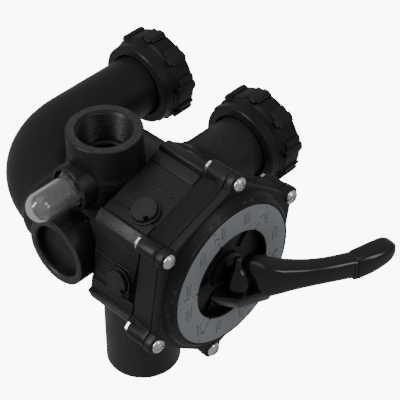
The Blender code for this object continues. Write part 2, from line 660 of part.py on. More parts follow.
def lever(stations, name, finish):
    bm = bmesh.new()
    centres = [Vector(station[:3]) * MM for station in stations]
    loops = []
    for i, (_, _, _, half_z, half_t) in enumerate(stations):
        ahead = centres[min(i + 1, len(centres) - 1)] - centres[max(i - 1, 0)]
        side = Vector((-ahead.y, ahead.x, 0)).normalized()
        section = rounded_section(half_z * MM, half_t * MM)
        loops.append([bm.verts.new(centres[i] + Vector((0, 0, a)) + side * b) for a, b in section])
    bmesh.ops.bridge_loops(bm, edges=[
        bm.edges.new((loop[k], loop[(k + 1) % SECTION_POINTS])) for loop in loops for k in range(SECTION_POINTS)])
    bm.faces.new(loops[0])
    bm.faces.new(loops[-1])
    return finish_mesh(name, bm, finish)


# Outline of the hub plate's top in millimetres, seen along the pin, and its taper below: place in Z, scale
HUB_PLATE = [(-13.8, -23.6), (-26.0, -4.5), (-17.0, -2.2), (3.5, -2.2), (9.5, -6.0), (13.0, -12.0), (20.0, -22.0),
             (16.0, -36.0), (0.0, -29.0)]
HUB_PLATE_LAYERS = [(-6.5, 1.0), (-9.0, 1.0), (-13.0, 0.93), (-17.0, 0.86), (-20.0, 0.74)]
HUB_PLATE_CENTRE = Vector((8, -20))
# Bell of the hub and the stalk on it in millimetres: radius, place along the pin
HUB_BELL = [(0, -7), (11.2, -7), (11.2, -5.5), (10.8, -0.5), (9.6, 5), (7.8, 9), (6.0, 11.5), (4.2, 13), (3.7, 15),
            (3.4, 20), (2.6, 22), (0, 22.8)]


def hub_plate():
    bm = bmesh.new()
    loops = []
    for z, scale in HUB_PLATE_LAYERS:
        outline = [HUB_PLATE_CENTRE + (Vector(point) - HUB_PLATE_CENTRE) * scale for point in HUB_PLATE]
        loops.append([bm.verts.new(Vector((point.x, point.y, z)) * MM) for point in outline])
    count = len(HUB_PLATE)
    for a, b in zip(loops, loops[1:]):
        for k in range(count):
            bm.faces.new((a[k], a[(k + 1) % count], b[(k + 1) % count], b[k]))
    bm.faces.new(loops[0])
    bm.faces.new(loops[-1])
    return finish_mesh("hub_plate", bm, None)


def build_handle():
    """Lever with a hub on the pin: a flat plate below the stem's tongue and a bell over it."""
    handle = lever(HANDLE_STATIONS, "handle", material("handle_plastic", (0.010, 0.010, 0.011), 0.16))
    bell = turned([(r * MM, h * MM) for r, h in HUB_BELL], "Z", (PIN_X, PIN_Y, 0), SMALL)
    join(handle, bell, hub_plate())
    pocket_low, pocket_high = TONGUE_LOW_Z - GAP, TONGUE_HIGH_Z + GAP
    pocket_size = (POCKET_HIGH_X - POCKET_LOW_X, POCKET_LENGTH, pocket_high - pocket_low)
    pocket_mid = ((POCKET_HIGH_X + POCKET_LOW_X) / 2, PIN_Y + POCKET_LENGTH / 2, (pocket_low + pocket_high) / 2)
    cut(handle, rod(POCKET_R, pocket_low, pocket_high, "Z", (PIN_X, PIN_Y, 0), SMALL),
        block(pocket_size, pocket_mid),
        rod(PIN_R + PIN_CLEARANCE, PIN_LOW_Z - GAP, PIN_HIGH_Z + GAP, "Z", (PIN_X, PIN_Y, 0), SMALL))
    return handle


def build_handle_grip():
    return lever(GRIP_STATIONS, "handle_grip", material("grip_plastic", (0.010, 0.010, 0.011), 0.20))


def build_handle_pin():
    return rod(PIN_R, PIN_LOW_Z, PIN_HIGH_Z, "Z", (PIN_X, PIN_Y, 0), SMALL, "handle_pin", stainless("pin_steel"))


# ---------------------------------------------------------------- sight glass and plugs
GLASS_R = 12.6 * MM
GLASS_WALL = 2.0 * MM
GLASS_TIP_X = -100.0 * MM
GLASS_FLANGE_R = 15.8 * MM


def build_sight_glass():
    """Clear thimble: flange in the boss, straight wall and a hemispherical end."""
    seat = SIGHT_SEAT_X - 3.0 * MM
    centre_x = GLASS_TIP_X + GLASS_R
    profile = [(GLASS_R - GLASS_WALL, seat), (GLASS_FLANGE_R, seat), (GLASS_FLANGE_R, seat - 3.0 * MM),
               (GLASS_R, seat - 3.0 * MM)]
    profile += [(GLASS_R * math.cos(a), centre_x - GLASS_R * math.sin(a))
                for a in (math.radians(15 * i) for i in range(6))]
    profile.append((0, GLASS_TIP_X))
    outer = turned([(0, seat)] + profile[1:], "X", (0, PORT_Y, SIGHT_Z), SMALL, "sight_glass",
                   material("clear_acrylic", (0.95, 0.96, 0.97), 0.05, transmission=0.95))
    bore_r = GLASS_R - GLASS_WALL
    bore = [(0, seat + 1 * MM), (bore_r, seat + 1 * MM)]
    bore += [(bore_r * math.cos(a), centre_x - bore_r * math.sin(a))
             for a in (math.radians(15 * i) for i in range(6))]
    bore.append((0, centre_x - bore_r))
    cut(outer, turned(bore, "X", (0, PORT_Y, SIGHT_Z), SMALL))
    return outer


def build_sight_glass_gasket():
    return torus(13.0 * MM, 1.2 * MM, "X", (SIGHT_SEAT_X - 1.55 * MM, PORT_Y, SIGHT_Z), SMALL, SEAL_SIDES,
                 "sight_glass_gasket", black_rubber("sight_gasket_rubber"))


def build_plug(name, spot):
    """Screw-in plug with a coin slot, and the O-ring under its head."""
    turn, place = flat_frame(**spot)
    to_flat = Matrix.Translation(place) @ turn
    head_low = PLUG_BOSS_H + GAP
    head_r = PLUG_BOSS_R - 1.0 * MM
    bm = bmesh.new()
    turn_into(bm, [(0, -10 * MM), (PLUG_HOLE_R - 0.4 * MM, -10 * MM), (PLUG_HOLE_R - 0.4 * MM, head_low),
                   (head_r, head_low), (head_r, head_low + 1.8 * MM), (head_r - 1 * MM, head_low + 2.6 * MM),
                   (0, head_low + 2.6 * MM)], "Z", (0, 0, 0), SMALL)
    plug = finish_mesh(name, bm, black_plastic(f"{name}_plastic"))
    cut(plug, block((14 * MM, 2.4 * MM, 3 * MM), (0, 0, head_low + 2.6 * MM)))
    plug.data.transform(to_flat)
    bm = bmesh.new()
    sides = SEAL_SIDES
    turns = [math.tau * (i + 0.5) / sides for i in range(sides)]
    profile = [(6.9 * MM + 0.95 * MM * math.cos(t), PLUG_BOSS_H - 1.1 * MM + 0.95 * MM * math.sin(t)) for t in turns]
    turn_into(bm, profile, "Z", (0, 0, 0), SMALL)
    bmesh.ops.transform(bm, matrix=to_flat, verts=bm.verts)
    finish_mesh(f"{name}_o_ring", bm, black_rubber(f"{name}_o_ring_rubber"))


# ---------------------------------------------------------------- unions and elbow
def union_nut(name, centre_y):
    """Coarse-threaded collar nut, its inner lip behind the pipe collar and nine lugs round it."""
    inner_lip_x = UNION_FACE_X - COLLAR_THICK - 2 * GAP
    thread_x = inner_lip_x + 1.0 * MM
    profile = [(UNION_NUT_NECK_R, NUT_NEAR_X), (36.5 * MM, NUT_NEAR_X), (37.5 * MM, NUT_NEAR_X + 1.0 * MM),
               (37.5 * MM, NUT_NEAR_X + 13.0 * MM), (UNION_NUT_R + 0.6 * MM, NUT_NEAR_X + 14.0 * MM),
               (UNION_NUT_R + 0.6 * MM, NUT_FAR_X), (UNION_NUT_BORE_R, NUT_FAR_X)]
    pitch = 6.0 * MM
    turns = 2
    for i in range(turns):
        start = NUT_FAR_X - 2 * MM - i * pitch
        profile += [(UNION_NUT_BORE_R, start), (UNION_NUT_BORE_R + 1.2 * MM, start - 0.5 * pitch)]
    profile += [(UNION_NUT_BORE_R, NUT_FAR_X - 2 * MM - turns * pitch), (UNION_NUT_BORE_R, thread_x),
                (UNION_NUT_BORE_R, inner_lip_x), (UNION_NUT_NECK_R, inner_lip_x)]
    nut = turned(profile, "X", (0, centre_y, 0), 3 * UNION_LUGS, name, black_plastic(f"{name}_plastic"))
    lug_mid_r = (UNION_NUT_R + UNION_LUG_TIP_R) / 2
    bm = bmesh.new()
    for i in range(UNION_LUGS):
        angle = 12 + 360 / UNION_LUGS * i
        y, z = polar(lug_mid_r, angle)
        made = bmesh.ops.create_cube(bm, size=1.0)["verts"]
        bmesh.ops.scale(bm, vec=(18.5 * MM, UNION_LUG_TIP_R - UNION_NUT_R + 2 * MM, 8 * MM), verts=made)
        turn = Matrix.Rotation(math.radians(angle), 4, "X")
        place = Vector((NUT_FAR_X - 9.6 * MM, centre_y + y, z))
        bmesh.ops.transform(bm, matrix=Matrix.Translation(place) @ turn, verts=made)
    join(nut, finish_mesh("tool", bm, None))
    return nut


def union_collar(name, centre_y):
    """Flat-faced collar welded on the pipe end, with a groove for the face seal."""
    rear = UNION_FACE_X - COLLAR_THICK
    inner = PIPE_R + GAP
    profile = [(inner, rear), (COLLAR_R, rear), (COLLAR_R, UNION_FACE_X), (34.2 * MM, UNION_FACE_X),
               (34.2 * MM, UNION_FACE_X - 2.6 * MM), (29.8 * MM, UNION_FACE_X - 2.6 * MM),
               (29.8 * MM, UNION_FACE_X), (inner, UNION_FACE_X)]
    return turned(profile, "X", (0, centre_y, 0), MEDIUM, name, black_plastic(f"{name}_plastic"))


def build_unions():
    for side, centre_y in (("near", UNION_NEAR_Y), ("far", UNION_FAR_Y)):
        union_nut(f"union_nut_{side}", centre_y)
        union_collar(f"union_collar_{side}", centre_y)
        torus(32.0 * MM, 1.7 * MM, "X", (UNION_FACE_X - 0.6 * MM, centre_y, 0), MEDIUM, SEAL_SIDES,
              f"union_o_ring_{side}", black_rubber(f"union_o_ring_{side}_rubber"))


def elbow_sections():
    """Centre, in-plane side direction and outer radius of each section along the elbow.

    A tapered shoulder butts on the end of the housing's socket, just inside the start of the bend.
    """
    bend_x = ELBOW_X + ELBOW_BEND_R
    bend_y = UNION_FAR_Y - ELBOW_BEND_R
    bend_centre = Vector((bend_x, bend_y, 0))
    shoulder_start = math.asin(max(0.0, SOCKET_END_Y + GAP - bend_y) / ELBOW_BEND_R)
    shoulder_end = shoulder_start + ELBOW_SHOULDER_LENGTH / ELBOW_BEND_R
    turns = [(0.0, PIPE_R), (shoulder_start, PIPE_R), (shoulder_start, ELBOW_SHOULDER_R),
             ((shoulder_start + shoulder_end) / 2, ELBOW_SHOULDER_R - 0.5 * MM), (shoulder_end, PIPE_R)]
    steps = 9
    turns += [(shoulder_end + (math.pi / 2 - shoulder_end) * i / steps, PIPE_R) for i in range(1, steps + 1)]
    sections = [(Vector((ELBOW_X, ELBOW_START_Y, 0)), Vector((-1, 0, 0)), PIPE_R)]
    for turn, radius in turns:
        out = Vector((-math.cos(turn), math.sin(turn), 0))
        sections.append((bend_centre + out * ELBOW_BEND_R, out, radius))
    sections.append((Vector((PIPE_END_X, UNION_FAR_Y, 0)), Vector((0, 1, 0)), PIPE_R))
    return sections


def build_elbow_pipe():
    sides = MEDIUM
    bm = bmesh.new()
    skins = []
    for is_bore in (False, True):
        loops = []
        for centre, out, outer_radius in elbow_sections():
            radius = PIPE_BORE_R if is_bore else outer_radius
            turns = [math.tau * k / sides for k in range(sides)]
            loops.append([bm.verts.new(centre + out * (radius * math.cos(t)) + Vector((0, 0, radius * math.sin(t))))
                          for t in turns])
        for a, b in zip(loops, loops[1:]):
            for k in range(sides):
                bm.faces.new((a[k], a[(k + 1) % sides], b[(k + 1) % sides], b[k]))
        skins.append(loops)
    for end in (0, -1):
        outer, inner = skins[0][end], skins[1][end]
        for k in range(sides):
            bm.faces.new((outer[k], outer[(k + 1) % sides], inner[(k + 1) % sides], inner[k]))
    return finish_mesh("elbow_pipe", bm, black_plastic("elbow_plastic"))


# ---------------------------------------------------------------- assembly
def place_on_frames():
    """Hang every piece on the assembly empty, the moving ones through an empty on their joint's axis."""
    scene = bpy.context.scene
    pieces = [item for item in scene.collection.objects if item.type == "MESH"]
    assembly = bpy.data.objects.new("assembly", None)
    assembly.location = ORIGIN_SHIFT
    scene.collection.objects.link(assembly)
    axes = {"selector_axis": (0, 0, 0), "handle_axis": (PIN_X, PIN_Y, 0),
            "near_nut_axis": (NUT_NEAR_X, UNION_NEAR_Y, 0), "far_nut_axis": (NUT_NEAR_X, UNION_FAR_Y, 0)}
    empties = {}
    for name, place in axes.items():
        empty = bpy.data.objects.new(name, None)
        empty.location = place
        empty.parent = assembly
        scene.collection.objects.link(empty)
        empties[name] = empty
    riders = {"selector_axis": ("rotor", "stem_o_ring_1", "stem_o_ring_2", "rotor_spring", "spring_washer_front",
                                "spring_washer_rear", "handle_washer", "handle_pin"),
              "handle_axis": ("handle", "handle_grip"),
              "near_nut_axis": ("union_nut_near",), "far_nut_axis": ("union_nut_far",)}
    axis_of = {piece: empty for empty, names in riders.items() for piece in names}
    for piece in pieces:
        if piece.name in axis_of:
            empty = empties[axis_of[piece.name]]
            piece.data.transform(Matrix.Translation(-empty.location))
            piece.parent = empty
        else:
            piece.parent = assembly


def main():
    for item in list(bpy.data.objects):
        bpy.data.objects.remove(item)
    build_valve_body()
    build_rear_manifold()
    build_tail_pipes()
    build_cover()
    build_cover_o_ring()
    build_position_label()
    build_cover_screws()
    build_cover_nuts()
    build_rotor()
    build_stem_o_rings()
    build_spider_gasket()
    build_rotor_spring()
    build_washers()
    build_handle()
    build_handle_grip()
    build_handle_pin()
    build_sight_glass()
    build_sight_glass_gasket()
    build_plug("gauge_plug", GAUGE_PLUG)
    build_plug("drain_plug", DRAIN_PLUG)
    build_unions()
    build_elbow_pipe()
    place_on_frames()


main()
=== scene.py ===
import math

import bmesh
import bpy
from mathutils import Matrix, Vector


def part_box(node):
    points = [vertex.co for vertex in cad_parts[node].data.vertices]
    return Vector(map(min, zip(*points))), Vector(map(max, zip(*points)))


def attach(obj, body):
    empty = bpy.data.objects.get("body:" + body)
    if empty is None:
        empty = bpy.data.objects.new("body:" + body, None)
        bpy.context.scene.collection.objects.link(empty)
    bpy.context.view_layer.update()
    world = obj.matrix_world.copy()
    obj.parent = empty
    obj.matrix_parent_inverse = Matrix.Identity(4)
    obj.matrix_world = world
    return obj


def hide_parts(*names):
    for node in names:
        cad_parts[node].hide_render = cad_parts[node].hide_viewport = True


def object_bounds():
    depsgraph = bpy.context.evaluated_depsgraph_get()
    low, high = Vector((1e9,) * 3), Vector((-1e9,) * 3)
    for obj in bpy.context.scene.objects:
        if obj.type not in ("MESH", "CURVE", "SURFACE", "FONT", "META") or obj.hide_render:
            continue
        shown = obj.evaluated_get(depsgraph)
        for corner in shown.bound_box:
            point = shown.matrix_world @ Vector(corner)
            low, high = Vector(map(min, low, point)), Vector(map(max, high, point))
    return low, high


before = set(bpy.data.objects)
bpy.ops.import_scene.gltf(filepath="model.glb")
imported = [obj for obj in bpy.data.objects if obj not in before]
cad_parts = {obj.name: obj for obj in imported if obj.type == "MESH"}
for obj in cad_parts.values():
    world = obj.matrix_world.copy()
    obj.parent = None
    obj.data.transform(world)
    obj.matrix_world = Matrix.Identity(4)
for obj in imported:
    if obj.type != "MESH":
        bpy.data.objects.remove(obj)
cad_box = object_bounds()

# Shapes are drawn in millimetres in the valve's own frame: Y is the valve axis and the handle faces -Y.
ROTOR_LOW, ROTOR_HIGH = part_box("rotor")
ROTOR_FACE_Y = 59.0
TO_WORLD = Matrix.Translation(((ROTOR_LOW.x + ROTOR_HIGH.x) / 2, ROTOR_HIGH.y - ROTOR_FACE_Y / 1000, 0.0))
TO_WORLD = TO_WORLD @ Matrix.Scale(0.001, 4)

FIRST_SCREW_DEG = 20.3
FIRST_SETTING_DEG = FIRST_SCREW_DEG + 30
SCREW_CIRCLE = 80.0
BARREL_APOTHEM = 65.5
SHARP_DEG = 32


# ---------------------------------------------------------------- materials
def link(tree, out_socket, in_socket):
    tree.links.new(out_socket, in_socket)


def surface(name, dark, light, rough=(0.35, 0.5), grain=(2400.0, 0.00006), blotch=28.0, metallic=0.0, coat=0.0,
            wear=0.0, wear_colour=(0.10, 0.10, 0.10), stretch=(1, 1, 1), transmission=0.0, ior=1.5, specular=0.5,
            scratches=0.0):
    """Procedural finish: blotchy colour, uneven gloss, fine moulded grain, fine scratches and rubbed edges."""
    made = bpy.data.materials.new(name)
    made.use_nodes = True
    tree = made.node_tree
    shader = tree.nodes["Principled BSDF"]
    shader.inputs["Metallic"].default_value = metallic
    shader.inputs["Coat Weight"].default_value = coat
    shader.inputs["Coat Roughness"].default_value = 0.08
    shader.inputs["Transmission Weight"].default_value = transmission
    shader.inputs["IOR"].default_value = ior
    shader.inputs["Specular IOR Level"].default_value = specular
    coords = tree.nodes.new("ShaderNodeTexCoord")
    mapping = tree.nodes.new("ShaderNodeMapping")
    mapping.inputs["Scale"].default_value = stretch
    link(tree, coords.outputs["Object"], mapping.inputs["Vector"])

    def noise(scale, detail=4.0, roughness=0.55):
        node = tree.nodes.new("ShaderNodeTexNoise")
        node.inputs["Scale"].default_value = scale
        node.inputs["Detail"].default_value = detail
        node.inputs["Roughness"].default_value = roughness
        link(tree, mapping.outputs["Vector"], node.inputs["Vector"])
        return node.outputs["Fac"]

    ramp = tree.nodes.new("ShaderNodeValToRGB")
    ramp.color_ramp.elements[0].position = 0.3
    ramp.color_ramp.elements[0].color = (*dark, 1)
    ramp.color_ramp.elements[1].position = 0.7
    ramp.color_ramp.elements[1].color = (*light, 1)
    link(tree, noise(blotch), ramp.inputs["Fac"])
    colour = ramp.outputs["Color"]
    if wear > 0:
        geometry = tree.nodes.new("ShaderNodeNewGeometry")
        edge = tree.nodes.new("ShaderNodeMapRange")
        edge.inputs["From Min"].default_value = 0.53
        edge.inputs["From Max"].default_value = 0.62
        edge.inputs["To Max"].default_value = wear
        link(tree, geometry.outputs["Pointiness"], edge.inputs["Value"])
        broken = tree.nodes.new("ShaderNodeMath")
        broken.operation = "MULTIPLY"
        link(tree, edge.outputs["Result"], broken.inputs[0])
        link(tree, noise(260.0), broken.inputs[1])
        mix = tree.nodes.new("ShaderNodeMix")
        mix.data_type = "RGBA"
        mix.inputs["B"].default_value = (*wear_colour, 1)
        link(tree, broken.outputs["Value"], mix.inputs["Factor"])
        link(tree, colour, mix.inputs["A"])
        colour = mix.outputs["Result"]
    link(tree, colour, shader.inputs["Base Color"])
    gloss = tree.nodes.new("ShaderNodeMapRange")
    gloss.inputs["From Min"].default_value = 0.3
    gloss.inputs["From Max"].default_value = 0.7
    gloss.inputs["To Min"].default_value = rough[0]
    gloss.inputs["To Max"].default_value = rough[1]
    link(tree, noise(blotch * 3.1, 6.0), gloss.inputs["Value"])
    link(tree, gloss.outputs["Result"], shader.inputs["Roughness"])
    bump = tree.nodes.new("ShaderNodeBump")
    bump.inputs["Distance"].default_value = grain[1]
    bump.inputs["Strength"].default_value = 0.7
    link(tree, noise(grain[0], 3.0), bump.inputs["Height"])
    normal = bump.outputs["Normal"]
    if scratches > 0:
        lines = tree.nodes.new("ShaderNodeTexWave")
        lines.inputs["Scale"].default_value = 160.0
        lines.inputs["Distortion"].default_value = 14.0
        lines.inputs["Detail"].default_value = 3.0
        lines.inputs["Detail Scale"].default_value = 2.0
        link(tree, mapping.outputs["Vector"], lines.inputs["Vector"])
        cut_in = tree.nodes.new("ShaderNodeBump")
        cut_in.inputs["Distance"].default_value = scratches
        cut_in.inputs["Strength"].default_value = 0.35
        link(tree, lines.outputs["Fac"], cut_in.inputs["Height"])
        link(tree, normal, cut_in.inputs["Normal"])
        normal = cut_in.outputs["Normal"]
    link(tree, normal, shader.inputs["Normal"])
    return made


HOUSING = surface("moulded_black", (0.0075, 0.0080, 0.0090), (0.0120, 0.0128, 0.0140), rough=(0.30, 0.44), wear=0.5,
                  scratches=0.00002, specular=0.22)
PIPE = surface("pipe_black", (0.0075, 0.0080, 0.0086), (0.0120, 0.0126, 0.0134), rough=(0.32, 0.46), blotch=18.0,
               grain=(1800.0, 0.00005), wear=0.3, scratches=0.00003, specular=0.22)
NUT = surface("nut_black", (0.0065, 0.0068, 0.0074), (0.0105, 0.0110, 0.0118), rough=(0.28, 0.42), blotch=36.0, wear=0.6, specular=0.22)
GLOSS = surface("handle_gloss", (0.0050, 0.0052, 0.0056), (0.0080, 0.0083, 0.0088), rough=(0.16, 0.26),
                grain=(700.0, 0.00002), blotch=14.0, coat=0.25, specular=0.35, wear=0.25, scratches=0.00001)
LABEL = surface("label_film", (0.205, 0.222, 0.240), (0.235, 0.252, 0.270), rough=(0.38, 0.50), blotch=40.0,
                grain=(3200.0, 0.00002))
INK = surface("label_ink", (0.030, 0.032, 0.036), (0.045, 0.048, 0.052), rough=(0.45, 0.60), blotch=300.0)
STEEL = surface("stainless", (0.66, 0.66, 0.65), (0.80, 0.80, 0.79), rough=(0.16, 0.30), blotch=240.0, metallic=1.0,
                grain=(2600.0, 0.00002), wear=0.0, scratches=0.00001)
SPRING = surface("spring_wire", (0.48, 0.48, 0.47), (0.62, 0.62, 0.61), rough=(0.24, 0.38), blotch=150.0, metallic=1.0)
RUBBER = surface("moulded_rubber", (0.010, 0.010, 0.010), (0.017, 0.017, 0.017), rough=(0.62, 0.80), blotch=60.0,
                 grain=(1500.0, 0.00008))
ACRYLIC = surface("clear_acrylic", (0.93, 0.94, 0.95), (0.98, 0.98, 0.99), rough=(0.03, 0.09), blotch=90.0,
                  grain=(500.0, 0.00002), transmission=0.96, ior=1.49)
ROTOR = surface("rotor_black", (0.010, 0.0105, 0.011), (0.017, 0.0175, 0.018), rough=(0.34, 0.48), blotch=30.0,
                wear=0.3, specular=0.3)
NYLON = surface("nylon", (0.010, 0.010, 0.011), (0.016, 0.016, 0.017), rough=(0.35, 0.48), blotch=70.0)


# ---------------------------------------------------------------- mesh helpers
AXES = {"X": (Vector((1, 0, 0)), Vector((0, 1, 0)), Vector((0, 0, 1))),
        "Y": (Vector((0, 1, 0)), Vector((0, 0, 1)), Vector((1, 0, 0))),
        "Z": (Vector((0, 0, 1)), Vector((1, 0, 0)), Vector((0, 1, 0)))}


def tool_from(bm, name="tool"):
    bmesh.ops.recalc_face_normals(bm, faces=bm.faces)
    mesh = bpy.data.meshes.new(name)
    bm.to_mesh(mesh)
    bm.free()
    made = bpy.data.objects.new(name, mesh)
    bpy.context.scene.collection.objects.link(made)
    return made


def soften(points, radius, closed=False, steps=3):
    """Replace every corner of a profile with a small arc."""
    out = []
    count = len(points)
    for i, point in enumerate(points):
        b = Vector(point)
        if not closed and i in (0, count - 1):
            out.append(b)
            continue
        u = Vector(points[i - 1]) - b
        v = Vector(points[(i + 1) % count]) - b
        if u.length < 1e-6 or v.length < 1e-6 or u.angle(v) > math.radians(168):
            out.append(b)
            continue
        reach = min(radius / math.tan(u.angle(v) / 2), u.length * 0.45, v.length * 0.45)
        start = b + u.normalized() * reach
        end = b + v.normalized() * reach
        for k in range(steps + 1):
            t = k / steps
            out.append(start * (1 - t) ** 2 + b * (2 * t * (1 - t)) + end * t ** 2)
    return [(p[0], p[1]) for p in out]


def skin_rows(bm, rows, wrap_rows=False):
    """Quads between neighbouring rows; a row of one vertex closes as a fan."""
    pairs = list(zip(rows, rows[1:]))
    if wrap_rows:
        pairs.append((rows[-1], rows[0]))
    for a, b in pairs:
        count = max(len(a), len(b))
        for k in range(count):
            n = (k + 1) % count
            if len(a) == 1:
                bm.faces.new((a[0], b[k], b[n]))
            elif len(b) == 1:
                bm.faces.new((a[k], a[n], b[0]))
            else:
                bm.faces.new((a[k], a[n], b[n], b[k]))


def turned(profile, axis="Y", centre=(0, 0, 0), steps=96, edge=0.0, wobble=None, closed=None):
    """Solid of revolution from (radius, place) pairs, with its corners rounded by edge."""
    if closed is None:
        closed = profile[0][0] > 0
    if edge > 0:
        profile = soften(profile, edge, closed)
    along, out, side = AXES[axis]
    centre = Vector(centre)
    bm = bmesh.new()
    rows = []
    for radius, place in profile:
        if radius < 1e-6:
            rows.append([bm.verts.new(centre + along * place)])
            continue
        row = []
        for k in range(steps):
            angle = math.tau * k / steps
            r = radius if wobble is None else wobble(radius, place, angle)
            row.append(bm.verts.new(centre + along * place + out * (r * math.cos(angle)) + side * (r * math.sin(angle))))
        rows.append(row)
    skin_rows(bm, rows, wrap_rows=closed)
    return tool_from(bm)


def rod(radius, low, high, axis="Y", centre=(0, 0, 0), steps=96, edge=0.0):
    return turned([(0, low), (radius, low), (radius, high), (0, high)], axis, centre, steps, edge)


def ring(inner, outer, low, high, axis="Y", centre=(0, 0, 0), steps=96, edge=0.0):
    return turned([(inner, low), (outer, low), (outer, high), (inner, high)], axis, centre, steps, edge)


def prism(outline, low, high, edge=0.0, taper=1.0, to_z=False):
    """An (x, z) outline extruded along Y, or an (x, y) outline along Z, with rounded rims."""
    bm = bmesh.new()
    rows = []
    layers = [(low, 1.0)] if edge <= 0 else []
    if edge > 0:
        for k in range(4):
            turn = math.pi / 2 * k / 3
            layers.append((low + edge * (1 - math.sin(turn)), -edge * (1 - math.cos(turn))))
        layers = layers[::-1]
        layers = [(low + edge * (1 - math.sin(math.pi / 2 * k / 3)), 1 - math.cos(math.pi / 2 * k / 3)) for k in (3, 2, 1, 0)]
        span = [(high - (place - low), pull) for place, pull in reversed(layers)]
        layers = layers + span
    else:
        layers = [(low, 0.0), (high, 0.0)]
    points = [Vector(p) for p in outline]
    count = len(points)
    normals = []
    for i in range(count):
        ahead = points[(i + 1) % count] - points[i - 1]
        normals.append(Vector((ahead.y, -ahead.x)).normalized())
    area = sum(points[i].x * points[(i + 1) % count].y - points[(i + 1) % count].x * points[i].y for i in range(count))
    flip = 1.0 if area > 0 else -1.0
    for place, pull in layers:
        scale = 1 + (taper - 1) * (place - low) / (high - low)
        row = []
        for point, normal in zip(points, normals):
            at = (point - normal * (flip * pull * edge)) * scale
            row.append(bm.verts.new((at.x, at.y, place) if to_z else (at.x, place, at.y)))
        rows.append(row)
    skin_rows(bm, rows)
    bm.faces.new(rows[0])
    bm.faces.new(rows[-1])
    return tool_from(bm)


def block_into(bm, size, matrix, edge=0.0):
    made = bmesh.ops.create_cube(bm, size=1.0)["verts"]
    bmesh.ops.scale(bm, vec=size, verts=made)
    bmesh.ops.transform(bm, matrix=matrix, verts=made)
    if edge > 0:
        edges = list({e for v in made for e in v.link_edges})
        bmesh.ops.bevel(bm, geom=edges, offset=edge, segments=3, profile=0.5, affect="EDGES")


def block(size, place, turn=None, edge=0.0):
    bm = bmesh.new()
    matrix = Matrix.Translation(place)
    block_into(bm, size, matrix if turn is None else matrix @ turn, edge)
    return tool_from(bm)


def combine(target, tools, operation):
    group = bpy.data.collections.new("tools")
    for tool in tools:
        group.objects.link(tool)
    boolean = target.modifiers.new("boolean", "BOOLEAN")
    boolean.operation = operation
    boolean.solver = "MANIFOLD"
    boolean.operand_type = "COLLECTION"
    boolean.collection = group
    evaluated = target.evaluated_get(bpy.context.evaluated_depsgraph_get())
    result = bpy.data.meshes.new_from_object(evaluated)
    target.modifiers.remove(boolean)
    target.data = result
    for tool in tools:
        bpy.data.objects.remove(tool)
    bpy.data.collections.remove(group)
    return target


def join(target, *tools):
    return combine(target, tools, "UNION")


def cut(target, *tools):
    return combine(target, tools, "DIFFERENCE")


def piece(obj, name, body, finish, replaces=(), sharp=SHARP_DEG):
    """Name a finished shape, put it in the world, give it its finish and hang it on its body."""
    obj.name = name
    obj.data.name = name
    obj.data.transform(TO_WORLD)
    obj.data.materials.clear()
    obj.data.materials.append(finish)
    obj.data.shade_smooth()
    obj.data.set_sharp_from_angle(angle=math.radians(sharp))
    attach(obj, body)
    if replaces:
        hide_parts(*replaces)
    return obj


def polar(radius, degrees):
    angle = math.radians(degrees)
    return radius * math.cos(angle), radius * math.sin(angle)


def screw_angles():
    return [FIRST_SCREW_DEG + 60 * i for i in range(6)]


def hexagon(apothem, corner_r, arc_points=9):
    corner_centre = (apothem - corner_r) / math.cos(math.radians(30))
    points = []
    for angle in screw_angles():
        cx, cz = polar(corner_centre, angle)
        for i in range(arc_points):
            dx, dz = polar(corner_r, angle - 30 + 60 * i / (arc_points - 1))
            points.append((cx + dx, cz + dz))
    return points


def lugged_outline(apothem, lug_r, steps=360):
    """Hexagon with a round ear at each screw, blended by a soft maximum."""
    points = []
    for k in range(steps):
        angle = 360 * k / steps
        off = (angle - FIRST_SCREW_DEG + 30) % 60 - 30
        to_flat = 30 - abs(off)
        hex_r = apothem / math.cos(math.radians(max(to_flat, 0)))
        hex_r = min(hex_r, apothem * 1.082)
        reach = math.degrees(math.asin(lug_r / SCREW_CIRCLE))
        if abs(off) < reach:
            a = math.radians(off)
            lug = SCREW_CIRCLE * math.cos(a) + math.sqrt(max(0, lug_r ** 2 - (SCREW_CIRCLE * math.sin(a)) ** 2))
        else:
            lug = SCREW_CIRCLE - (abs(off) - reach) * 9
        radius = (hex_r + lug + math.sqrt((hex_r - lug) ** 2 + 2.2 ** 2)) / 2
        if lug < hex_r - 12:
            radius = hex_r
        points.append(polar(radius, angle))
    return points


def flat_matrix(normal_deg, along_y, across, rise=0.0):
    """Places a tool's local +Z on a barrel flat, with local X along the valve axis."""
    nx, nz = polar(1, normal_deg)
    tx, tz = nz, -nx
    at = (nx * (BARREL_APOTHEM + rise) + tx * across, along_y, nz * (BARREL_APOTHEM + rise) + tz * across)
    return Matrix(((0, -tx, nx, at[0]), (1, 0, 0, at[1]), (0, -tz, nz, at[2]), (0, 0, 0, 1)))


def on_flat(tool, matrix):
    tool.data.transform(matrix)
    return tool


# ---------------------------------------------------------------- housing
PORT_Y = 111.0
TOP_PORT_X = -20.0
GAUGE = dict(normal_deg=FIRST_SCREW_DEG + 90, along_y=48.0, across=-17.0)
DRAIN = dict(normal_deg=FIRST_SCREW_DEG + 150, along_y=50.0, across=-9.0)


